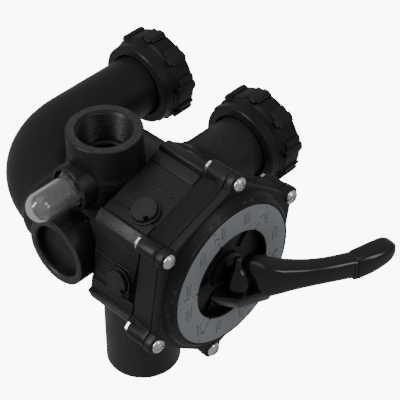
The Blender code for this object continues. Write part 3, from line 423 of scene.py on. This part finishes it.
def barrel_relief():
    """Raised strips and thin ribs along the flats, and a ridge behind each screw boss."""
    bm = bmesh.new()
    for i in range(6):
        normal = FIRST_SCREW_DEG + 30 + 60 * i
        for across, width, rise, low, high in ((-27.5, 11.0, 1.2, 33.0, 79.4), (26.0, 10.6, 1.2, 33.0, 79.4),
                                               (4.0, 1.6, 0.8, 40.0, 79.4), (-15.0, 0.9, 0.5, 62.0, 79.4)):
            block_into(bm, (high - low, width, 6.0),
                       flat_matrix(normal, (low + high) / 2, across, rise - 3.0), 0.55 if width > 3 else 0.3)
    for angle in screw_angles():
        x, z = polar(73.4, angle)
        turn = Matrix.Rotation(-math.radians(angle), 4, "Y")
        block_into(bm, (9.0, 47.0, 11.5), Matrix.Translation((x, 56.0, z)) @ turn, 1.2)
    return tool_from(bm)


def thread_bore():
    """Top port's bore: duct, helical thread and chamfered mouth."""
    pitch, low, high = 2.3, 63.0, 88.4
    profile = [(0, 22.0), (18.0, 22.0), (18.0, low - 1.6), (20.3, low)]
    rows = int((high - low) / (pitch / 6))
    profile += [(20.6, low + (high - low) * k / rows) for k in range(1, rows)]
    profile += [(21.4, high), (23.2, 90.0), (23.4, 92.0), (0, 92.0)]

    def helix(radius, place, angle):
        if not low + 0.2 < place < high - 0.1:
            return radius
        phase = (place / pitch - angle / math.tau) % 1.0
        return radius + 1.15 * (1 - abs(2 * phase - 1))
    return turned(profile, "Z", (TOP_PORT_X, PORT_Y, 0), 96, wobble=helix, closed=False)


def housing():
    body = prism(lugged_outline(71.3, 8.2), 9.3, 18.0, edge=0.7, taper=0.965)
    parts = [prism(hexagon(BARREL_APOTHEM, 7.0), 14.0, 80.0, edge=0.8), barrel_relief()]
    parts.append(prism(hexagon(70.4, 8.0), 12.0, 31.5, edge=0.8, taper=0.957))
    for angle in screw_angles():
        x, z = polar(SCREW_CIRCLE, angle)
        parts.append(rod(7.4, 12.0, 28.5, "Y", (x, 0, z), 48, 0.6))
        mx, mz = polar(SCREW_CIRCLE - 6.0, angle)
        turn = Matrix.Rotation(-math.radians(angle), 4, "Y")
        parts.append(block((11.0, 20.0, 14.2), (mx, 22.0, mz), turn, 0.8))
    parts.append(turned([(0, 75), (60.5, 75), (60.5, 132), (50.5, 142), (0, 142)], "Y", edge=3.0, steps=128))
    parts.append(turned([(0, 0), (31.6, 0), (31.6, 60), (30.5, 64), (30.5, 91), (0, 91)], "Z",
                        (TOP_PORT_X, PORT_Y, 0), edge=1.3))
    parts.append(turned([(0, -78), (30, -78), (30, 0), (0, 0)], "X", (0, PORT_Y, 0), edge=1.2))
    parts.append(turned([(0, -60), (19, -60), (19, -20), (0, -20)], "X", (0, PORT_Y, 54), edge=0.9))
    parts.append(rod(32.6, -76, 0, "Z", (0, 97, 0)))
    parts.append(turned([(0, 0), (36, 0), (36, 57), (33.5, 61), (29.4, 66), (29.2, 73), (0, 73)], "X", (0, 96, 0),
                        edge=1.6))
    parts.append(turned([(0, 96), (32, 96), (32, 142.7), (0, 142.7)], "Y", (-40, 0, 0), edge=1.0))
    for spot in (GAUGE, DRAIN):
        parts.append(on_flat(turned([(0, -4), (12.4, -4), (12.4, 2.4), (0, 2.4)], "Z", steps=64, edge=0.7),
                             flat_matrix(**spot)))
    join(body, *parts)
    cutters = [turned([(0, 0), (58, 0), (58, 62), (0, 62)], "Y", steps=128),
               ring(60.3, 64.7, 0, 13.2, "Y", steps=128), thread_bore(),
               turned([(0, -80), (24.2, -80), (24.2, -78), (23, -76.6), (23, -71), (0, -71)], "X", (0, PORT_Y, 0)),
               turned([(0, -62), (16.6, -62), (16.6, -47), (8.5, -47), (8.5, -20), (0, -20)], "X", (0, PORT_Y, 54),
                      steps=64),
               rod(28, -78, -24, "Z", (0, 97, 0)), rod(23.5, 24, 75, "X", (0, 96, 0)),
               turned([(0, 100), (17, 100), (17, 131.7), (28, 131.7), (28, 144), (0, 144)], "Y", (-40, 0, 0))]
    for i in range(6):
        x, z = polar(34, 60 * i)
        cutters.append(rod(12, 61, 104, "Y", (x, 0, z), 48))
    for angle in screw_angles():
        x, z = polar(SCREW_CIRCLE, angle)
        cutters.append(rod(3.4, 0, 30, "Y", (x, 0, z), 32))
        wx, wz = polar(SCREW_CIRCLE - 11.0, angle - 6.5)
        cutters.append(block((4.2, 7.5, 4.6), (wx, 36.5, wz), Matrix.Rotation(-math.radians(angle), 4, "Y")))
    for spot in (GAUGE, DRAIN):
        at = flat_matrix(**spot)
        cutters.append(on_flat(rod(5.4, -14, 4, "Z", steps=32), at))
        cutters.append(on_flat(rod(11.3, 0.7, 4, "Z", steps=64), at))
    cut(body, *cutters)
    return body


piece(housing(), "housing_shell", "housing", HOUSING, ("valve_body", "rear_manifold"))
piece(turned([(28.2, -162.2), (28.8, -163), (31.8, -163), (32.6, -162.2), (32.6, -76), (28, -76), (28, -158)], "Z",
             (0, 97, 0)), "drain_stub_pipe", "housing", HOUSING, ("drain_stub",))
piece(turned([(23.5, 73), (27.7, 73), (27.7, 130.4), (27.1, 131), (23.9, 131), (23.5, 130.6)], "X", (0, 96, 0)),
      "near_tail_pipe", "housing", PIPE, ("union_tail_pipe",))


# ---------------------------------------------------------------- cover, label and fasteners
def cover():
    body = prism(lugged_outline(71.3, 8.2), 1.5, 9.0, edge=1.0)
    dome = turned(soften([(38.7, -5.6), (62.4, -5.6), (66.2, -3.2), (69.2, 1.6), (70.0, 7.0), (38.7, 7.0)], 0.8, True),
                  "Y", steps=144)
    lip = turned([(61.6, -5.0), (62.4, -6.1), (63.4, -6.1), (64.2, -5.0), (64.2, -3), (61.6, -3)], "Y", steps=144,
                 edge=0.3)
    join(body, dome, lip, rod(57.7, 7, 19, "Y", steps=128, edge=0.8))
    for_dish = turned([(0, -8), (38.7, -8), (38.7, -5.6), (37.6, -4.4), (37.0, 0), (0, 0)], "Y", steps=128)
    cut(body, for_dish)
    cutters = [ring(24, 50, 13, 20, "Y"), rod(11.3, -2, 20, "Y", steps=64)]
    for i in range(6):
        angle = FIRST_SETTING_DEG + 60 * i
        x, z = polar(29, angle)
        turn = Matrix.Rotation(-math.radians(angle), 4, "Y")
        cutters.append(block((17, 6.4, 7), (x, 0.2, z), turn))
    for angle in screw_angles():
        x, z = polar(SCREW_CIRCLE, angle)
        cutters.append(rod(3.4, 0, 10, "Y", (x, 0, z), 32))
        cutters.append(rod(7.0, -2, 1.9, "Y", (x, 0, z), 48))
    cut(body, *cutters)
    bosses = []
    for angle in screw_angles():
        x, z = polar(SCREW_CIRCLE, angle)
        bosses.append(ring(3.4, 6.9, 1.5, 4.0, "Y", (x, 0, z), 48))
    join(body, *bosses)
    return body


def label():
    body = turned([(39.2, -6.3), (39.2, -6.0), (61.2, -6.0), (61.2, -6.3), (60.9, -6.42), (39.5, -6.42)], "Y", steps=144)
    notches = []
    for i in range(6):
        angle = FIRST_SETTING_DEG + 60 * i
        tip = [polar(41.5, angle), polar(37.6, angle - 4.4), polar(37.6, angle + 4.4)]
        notches.append(prism(tip, -8, -5))
    return cut(body, *notches)


def label_marks():
    """Generic print: a numeral at each setting, rows of short dashes for small print, and ticks."""
    bm = bmesh.new()
    low, high = -6.46, -6.40

    def bar(x, z, width, height):
        block_into(bm, (width, high - low, height), Matrix.Translation((x, (low + high) / 2, z)))
    for i in range(12):
        angle = 12 + 30 * i
        x, z = polar(50.8 if i % 2 else 49.6, angle)
        rows = 3 if i % 2 else 4
        for row in range(rows):
            cursor = z - (5.6 if i % 2 else 4.4) + 0.5 * ((row * 7 + i * 3) % 4)
            width = 0.75 if row == 0 else 0.42
            for word in range(3):
                length = 1.9 + 0.75 * ((i * 5 + row * 3 + word * 2) % 4)
                bar(x + (row - (rows - 1) / 2) * 1.75, cursor + length / 2, width, length)
                cursor += length + 0.75
    for i in range(6):
        angle = FIRST_SETTING_DEG + 60 * i
        for radius, length in ((44.6, 3.4), (58.6, 2.6)):
            x, z = polar(radius, angle)
            block_into(bm, (length, high - low, 0.7),
                       Matrix.Translation((x, (low + high) / 2, z)) @ Matrix.Rotation(-math.radians(angle), 4, "Y"))
    marks = tool_from(bm, "marks")
    numerals = []
    for i in range(6):
        curve = bpy.data.curves.new("numeral", "FONT")
        curve.body = str(i + 1)
        curve.size = 7.0
        curve.extrude = (high - low) / 2
        curve.align_x = "CENTER"
        curve.align_y = "CENTER"
        text = bpy.data.objects.new("numeral", curve)
        bpy.context.scene.collection.objects.link(text)
        x, z = polar(51.5, FIRST_SETTING_DEG + 60 * i)
        text.matrix_world = (Matrix.Translation((x, (low + high) / 2, z)) @ Matrix.Rotation(math.pi / 2, 4, "X")
                             @ Matrix.Rotation(math.radians(90), 4, "Z"))
        bpy.context.view_layer.update()
        mesh = bpy.data.meshes.new_from_object(text.evaluated_get(bpy.context.evaluated_depsgraph_get()))
        mesh.transform(text.matrix_world)
        numerals.append(mesh)
        bpy.data.objects.remove(text)
        bpy.data.curves.remove(curve)
    bm = bmesh.new()
    bm.from_mesh(marks.data)
    for mesh in numerals:
        bm.from_mesh(mesh)
        bpy.data.meshes.remove(mesh)
    bmesh.ops.remove_doubles(bm, verts=bm.verts, dist=1e-4)
    bm.to_mesh(marks.data)
    bm.free()
    return marks


def screw(angle, turn_deg):
    x, z = polar(SCREW_CIRCLE, angle)
    head = [(0, -2.3), (1.6, -2.28), (3.1, -2.1), (4.4, -1.65), (5.4, -0.95), (6.0, -0.1), (6.2, 0.5), (6.15, 1.2),
            (3.0, 1.2)]
    thread = [(3.0 if k % 2 else 2.65, 20 + k * 0.5) for k in range(1, 26)]
    made = turned(head + [(3.0, 20)] + thread + [(2.4, 33.5), (0, 33.5)], "Y", (x, 0, z), 48, closed=False)
    arms = []
    for k in range(2):
        turn = Matrix.Rotation(math.radians(turn_deg + 90 * k), 4, "Y")
        bm = bmesh.new()
        block_into(bm, (7.6, 3.4, 1.7), Matrix.Translation((x, -1.7, z)) @ turn, 0.2)
        arms.append(tool_from(bm))
    core = turned([(0, -3), (2.2, -3), (1.8, -1.0), (0, 1.0)], "Y", (x, 0, z), 24)
    return cut(made, *arms, core)


def nut(angle, turn_deg):
    x, z = polar(SCREW_CIRCLE, angle)
    outline = [(x + polar(5.6, turn_deg + 60 * k)[0], z + polar(5.6, turn_deg + 60 * k)[1]) for k in range(6)]
    made = prism(outline, 28.8, 32.0)
    shape = turned([(0, 28.8), (5.0, 28.8), (5.75, 29.3), (5.75, 31.5), (5.0, 32.0), (0, 32.0)], "Y", (x, 0, z), 48)
    combine(made, [shape], "INTERSECT")
    return cut(made, turned([(0, 28), (3.7, 28), (3.3, 29.4), (3.3, 31.4), (3.7, 32.8), (0, 32.8)], "Y", (x, 0, z), 32))


piece(cover(), "cover_disc", "housing", HOUSING, ("cover",))
piece(label(), "label_ring", "housing", LABEL, ("position_label",))
piece(label_marks(), "label_print", "housing", INK)
for number, angle in enumerate(screw_angles(), start=1):
    piece(screw(angle, 17 + 41 * number), f"screw_{number}", "housing", STEEL,
          (f"cover_screw_{number}",))
    piece(nut(angle, 11 * number), f"nut_{number}", "housing", STEEL, (f"cover_nut_{number}",))


# ---------------------------------------------------------------- handle
HANDLE_STATIONS = [
    (9, -11, 2.5, 14.5, 6.0), (11, -18, 1.5, 16.5, 8.5), (15, -26, 0.3, 16.8, 10.5), (20, -32, 1.3, 14.3, 10.8),
    (28, -38.5, 1.4, 12.0, 9.8), (40, -47.5, 1.3, 9.9, 8.8), (53, -56.5, 1.5, 9.2, 8.2), (68, -64, 0.4, 9.6, 8.0),
    (73, -66.3, -0.5, 10.0, 8.0),
]
GRIP_STATIONS = [
    (73.4, -66.5, -0.9, 10.2, 8.6), (74.2, -66.8, -0.8, 10.8, 9.2), (84, -70.8, 1.0, 10.2, 9.8),
    (94, -73.8, 2.4, 9.2, 9.6), (102, -75.4, 3.4, 7.6, 8.8), (106.5, -76.2, 4.0, 5.2, 6.5),
    (109, -76.6, 4.2, 2.6, 3.4),
]
HUB_PLATE = [(-13.8, -23.6), (-26.0, -4.5), (-17.0, -2.2), (3.5, -2.2), (9.5, -6.0), (13.0, -12.0), (20.0, -22.0),
             (16.0, -36.0), (0.0, -29.0)]
HUB_PLATE_LAYERS = [(-6.5, 0.955), (-6.8, 0.975), (-7.5, 0.993), (-8.6, 1.0), (-11.0, 0.975), (-13.0, 0.93),
                    (-17.0, 0.86), (-19.2, 0.785), (-20.0, 0.72)]
HUB_PLATE_CENTRE = Vector((8, -20))
HUB_BELL = [(0, -7), (11.2, -7), (11.2, -5.8), (11.1, -3.0), (10.7, 0.4), (10.0, 3.6), (9.0, 6.6), (7.9, 9.0),
            (6.6, 11.0), (5.1, 12.3), (4.2, 13.4), (3.8, 15.0), (3.6, 17.5), (3.5, 20.0), (3.0, 21.6), (1.8, 22.6),
            (0, 22.8)]
PIN = (-1.0, -12.5, 0.0)


def spline(stations, per_span):
    out = []
    count = len(stations)
    for i in range(count - 1):
        p0, p1 = stations[max(i - 1, 0)], stations[i]
        p2, p3 = stations[i + 1], stations[min(i + 2, count - 1)]
        for k in range(per_span):
            t = k / per_span
            out.append(tuple(0.5 * (2 * b + (c - a) * t + (2 * a - 5 * b + 4 * c - d) * t * t
                                    + (3 * b - a - 3 * c + d) * t ** 3) for a, b, c, d in zip(p0, p1, p2, p3)))
    out.append(tuple(float(v) for v in stations[-1]))
    return out


def lever(stations, per_span, squareness, points=56):
    bm = bmesh.new()
    path = spline(stations, per_span)
    centres = [Vector(station[:3]) for station in path]
    rows = []
    layers = [(0, 0.80, 0.0), (0, 0.93, 0.6), (0, 1.0, 1.6)] + [(i, 1.0, 0.0) for i in range(1, len(path))]
    for i, shrink, forward in layers:
        _, _, _, half_z, half_t = path[i]
        ahead = centres[min(i + 1, len(centres) - 1)] - centres[max(i - 1, 0)]
        side = Vector((-ahead.y, ahead.x, 0)).normalized()
        half_z, half_t = half_z - (1 - shrink) * 8, half_t - (1 - shrink) * 8
        centre = centres[i] + ahead.normalized() * forward
        row = []
        for k in range(points):
            angle = math.tau * k / points
            c, s = math.cos(angle), math.sin(angle)
            up = math.copysign(abs(c) ** squareness, c) * half_z
            out = math.copysign(abs(s) ** squareness, s) * half_t
            row.append(bm.verts.new(centre + Vector((0, 0, up)) + side * out))
        rows.append(row)
    skin_rows(bm, rows)
    bm.faces.new(rows[0])
    bm.faces.new(rows[-1])
    return tool_from(bm)


def hub_plate():
    outline = [Vector(point) for point in soften(HUB_PLATE, 2.2, True, 4)]
    bm = bmesh.new()
    rows = []
    for z, scale in HUB_PLATE_LAYERS:
        rows.append([bm.verts.new((*(HUB_PLATE_CENTRE + (point - HUB_PLATE_CENTRE) * scale), z))
                     for point in outline])
    skin_rows(bm, rows)
    bm.faces.new(rows[0])
    bm.faces.new(rows[-1])
    return tool_from(bm)


def handle():
    body = lever(HANDLE_STATIONS, 8, 0.56)
    bell = turned(HUB_BELL, "Z", PIN, 96, closed=False)
    join(body, bell, hub_plate())
    pocket = turned([(0, -5.3), (7.2, -5.3), (7.2, 0.8), (0, 0.8)], "Z", PIN, 48)
    return cut(body, pocket, block((14.6, 14.0, 6.1), (0.9, PIN[1] + 7.0, -2.25)),
               rod(3.08, -13.7, 4.8, "Z", PIN, 48))


piece(handle(), "handle_lever", "handle", GLOSS, ("handle",), sharp=38)
piece(lever(GRIP_STATIONS, 6, 0.56), "handle_grip_end", "handle", GLOSS, ("handle_grip",), sharp=38)
piece(turned([(0, -13.4), (2.6, -13.4), (3, -13.0), (3, 4.1), (2.6, 4.5), (0, 4.5)], "Z", PIN, 32), "pivot_pin",
      "rotor", STEEL, ("handle_pin",))


# ---------------------------------------------------------------- sight glass and plugs
def sight_glass():
    seat, radius, wall, tip = -50.0, 12.6, 1.9, -100.0
    centre_x = tip + radius
    outer = [(0, seat), (15.8, seat), (15.8, seat - 3.0), (13.6, seat - 3.2), (radius + 0.2, -56.5), (radius, -60)]
    outer += [(radius * math.cos(math.radians(5 * i)), centre_x - radius * math.sin(math.radians(5 * i)))
              for i in range(18)] + [(0, tip)]
    made = turned(outer, "X", (0, PORT_Y, 54), 72, closed=False)
    bore_r = radius - wall
    bore = [(0, seat + 1), (bore_r, seat + 1)]
    bore += [(bore_r * math.cos(math.radians(6 * i)), centre_x - bore_r * math.sin(math.radians(6 * i)))
             for i in range(15)] + [(0, centre_x - bore_r)]
    facets = prism([polar(14.6, 60 * k) for k in range(6)], 56.0, 61.5, edge=0.5)
    facets.data.transform(Matrix.Translation((0, PORT_Y, 54)) @ Matrix.Rotation(math.pi / 2, 4, "Z"))
    join(made, facets)
    return cut(made, turned(bore, "X", (0, PORT_Y, 54), 72, closed=False))


def plug(spot, slot_deg):
    head = turned([(0, -10), (5.0, -10), (5.0, 3.2), (10.3, 3.2), (10.5, 5.3), (10.1, 5.85), (0, 5.9)], "Z", steps=64)
    turn = Matrix.Rotation(math.radians(slot_deg), 4, "Z")
    made = cut(head, block((4.4, 4.0, 6.0), turn @ Vector((9.6, 0, 5.6)), turn))
    return on_flat(made, flat_matrix(**spot))


piece(sight_glass(), "sight_glass_dome", "housing", ACRYLIC, ("sight_glass",))
piece(plug(GAUGE, 143), "gauge_plug_cap", "housing", HOUSING, ("gauge_plug",))
piece(plug(DRAIN, 160), "drain_plug_cap", "housing", HOUSING, ("drain_plug",))


# ---------------------------------------------------------------- unions and elbow
def union_nut(centre_y):
    neck, near, far, bore = 29.3, 118.0, 151.5, 37.0
    pitch, low, high = 5.0, 127.4, 150.0
    profile = soften([(36.3, near), (37.4, near + 1.2), (37.8, near + 11.5), (40.1, near + 15.0), (40.1, far - 0.8),
                      (39.4, far), (bore + 1.0, far)], 0.7)
    profile = [(neck, near + 0.4), (neck + 0.5, near)] + profile + [(bore, far - 1.2)]
    rows = int((high - low) / (pitch / 8))
    profile += [(bore, high - (high - low) * k / rows) for k in range(rows + 1)] + [(bore, 123.4), (neck, 123.4)]

    def helix(radius, place, angle):
        if radius != bore or not low < place < high:
            return radius
        phase = (place / pitch - angle / math.tau) % 1.0
        return radius + 1.5 * min(1.0, 2.4 * (1 - abs(2 * phase - 1)))
    body = turned(profile, "X", (0, centre_y, 0), 108, wobble=helix)
    bm = bmesh.new()
    for i in range(9):
        angle = 12 + 40 * i
        for width, tip, low_x, high_x, lean in ((15.5, 41.6, 134.2, 150.9, -3.4), (6.4, 43.0, 131.0, 151.3, 0.0)):
            y, z = polar((tip + 37.8) / 2, angle + lean)
            turn = Matrix.Rotation(math.radians(angle + lean), 4, "X")
            block_into(bm, (high_x - low_x, tip - 37.8, width),
                       Matrix.Translation(((low_x + high_x) / 2, centre_y + y, z)) @ turn, 0.7)
    return join(body, tool_from(bm))


def collar(centre_y):
    return turned([(28, 124), (36, 124), (36, 131), (34.2, 131), (34.2, 128.4), (29.8, 128.4), (29.8, 131),
                   (28, 131)], "X", (0, centre_y, 0), 96, edge=0.35)


def elbow():
    bend_r, elbow_x, start_y, far_y = 78.0, -40.0, 132.0, 221.0
    centre = Vector((elbow_x + bend_r, far_y - bend_r, 0))
    stations = []
    for y, r in ((start_y, 27.7), (142.9, 27.7), (143.0, 30.9), (143.6, 31.5)):
        stations.append((Vector((elbow_x, y, 0)), Vector((-1, 0, 0)), r))
    lip_end = math.radians(9.4)
    for k in range(1, 46):
        turn = math.radians(0.8 + 89.2 * k / 45)
        radius = 31.5 if turn < lip_end * 0.8 else 27.7
        if lip_end * 0.8 <= turn < lip_end * 1.25:
            radius = 27.7 + 3.8 * (1 - (turn - lip_end * 0.8) / (lip_end * 0.45))
        out = Vector((-math.cos(turn), math.sin(turn), 0))
        stations.append((centre + out * bend_r, out, radius))
    for x, r in ((60.0, 27.7), (110.0, 27.7), (130.4, 27.7), (131.0, 27.1)):
        stations.append((Vector((x, far_y, 0)), Vector((0, 1, 0)), r))
    bm = bmesh.new()
    steps = 96
    skins = []
    for inside in (False, True):
        rows = []
        for at, out, radius in stations:
            r = 23.5 if inside else radius
            rows.append([bm.verts.new(at + out * (r * math.cos(math.tau * k / steps))
                                      + Vector((0, 0, r * math.sin(math.tau * k / steps)))) for k in range(steps)])
        skin_rows(bm, rows)
        skins.append(rows)
    for end in (0, -1):
        skin_rows(bm, [skins[0][end], skins[1][end]])
    return tool_from(bm)


for side, centre_y, body in (("near", 96.0, "near_nut"), ("far", 221.0, "far_nut")):
    piece(union_nut(centre_y), f"nut_{side}_union", body, NUT, (f"union_nut_{side}",))
    piece(collar(centre_y), f"collar_{side}", "housing", PIPE, (f"union_collar_{side}",))
piece(elbow(), "elbow_bend", "housing", PIPE, ("elbow_pipe",))

# ---------------------------------------------------------------- finishes of the CAD nodes that stay
KEPT = {"rotor": ROTOR, "rotor_spring": SPRING, "spring_washer_front": STEEL, "spring_washer_rear": STEEL,
        "handle_washer": NYLON}
for name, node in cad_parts.items():
    if node.hide_render:
        continue
    node.data.materials.clear()
    node.data.materials.append(KEPT.get(name, RUBBER))


# ---------------------------------------------------------------- stage
def floor():
    low = cad_box[0][2]
    bm = bmesh.new()
    bmesh.ops.create_grid(bm, x_segments=2, y_segments=2, size=6.0)
    made = tool_from(bm, "studio_floor")
    made.location = (0, 0, low - 0.12)
    pale = bpy.data.materials.new("studio_white")
    pale.use_nodes = True
    shader = pale.node_tree.nodes["Principled BSDF"]
    shader.inputs["Base Color"].default_value = (0.92, 0.92, 0.92, 1)
    shader.inputs["Roughness"].default_value = 0.9
    shader.inputs["Emission Color"].default_value = (1, 1, 1, 1)
    shader.inputs["Emission Strength"].default_value = 9.0
    made.data.materials.append(pale)
    made.visible_diffuse = False
    made.visible_glossy = False
    made.visible_transmission = False
    made.visible_shadow = False


def area_light(name, place, target, size, power, size_y=None):
    data = bpy.data.lights.new(name, "AREA")
    data.energy = power
    data.size = size
    if size_y:
        data.shape = "RECTANGLE"
        data.size_y = size_y
    made = bpy.data.objects.new(name, data)
    bpy.context.scene.collection.objects.link(made)
    made.location = place
    made.rotation_euler = (Vector(target) - Vector(place)).to_track_quat("-Z", "Y").to_euler()


RIGHT = Vector((0.6915, -0.7224, 0.0)).normalized()
UP = Vector((0.4775, 0.4571, 0.7504)).normalized()
BACK = Vector((-0.5421, -0.5189, 0.6610)).normalized()
CAMERA_AT = Vector((-0.7561, -0.7283, 0.8177))
TARGET = Vector((-0.10, -0.08, 0.0))


def camera():
    data = bpy.data.cameras.new("camera")
    data.lens = 136.4
    data.sensor_width = 36.0
    made = bpy.data.objects.new("camera", data)
    bpy.context.scene.collection.objects.link(made)
    made.matrix_world = Matrix(((RIGHT.x, UP.x, BACK.x, CAMERA_AT.x), (RIGHT.y, UP.y, BACK.y, CAMERA_AT.y),
                                (RIGHT.z, UP.z, BACK.z, CAMERA_AT.z), (0, 0, 0, 1)))
    bpy.context.scene.camera = made


def studio():
    world = bpy.data.worlds.new("studio")
    bpy.context.scene.world = world
    world.use_nodes = True
    world.node_tree.nodes["Background"].inputs["Color"].default_value = (1, 1, 1, 1)
    world.node_tree.nodes["Background"].inputs["Strength"].default_value = 0.36
    area_light("left_strip", TARGET - RIGHT * 0.9 + BACK * 0.5 + Vector((0, 0, 0.35)), TARGET, 0.25, 9, 0.9)
    area_light("right_strip", TARGET + RIGHT * 0.8 + BACK * 0.7 + Vector((0, 0, 0.3)), TARGET, 0.28, 3.5, 0.9)
    area_light("top_box", TARGET + Vector((-0.15, 0.25, 1.1)), TARGET, 0.9, 2.2)


floor()
camera()
studio()
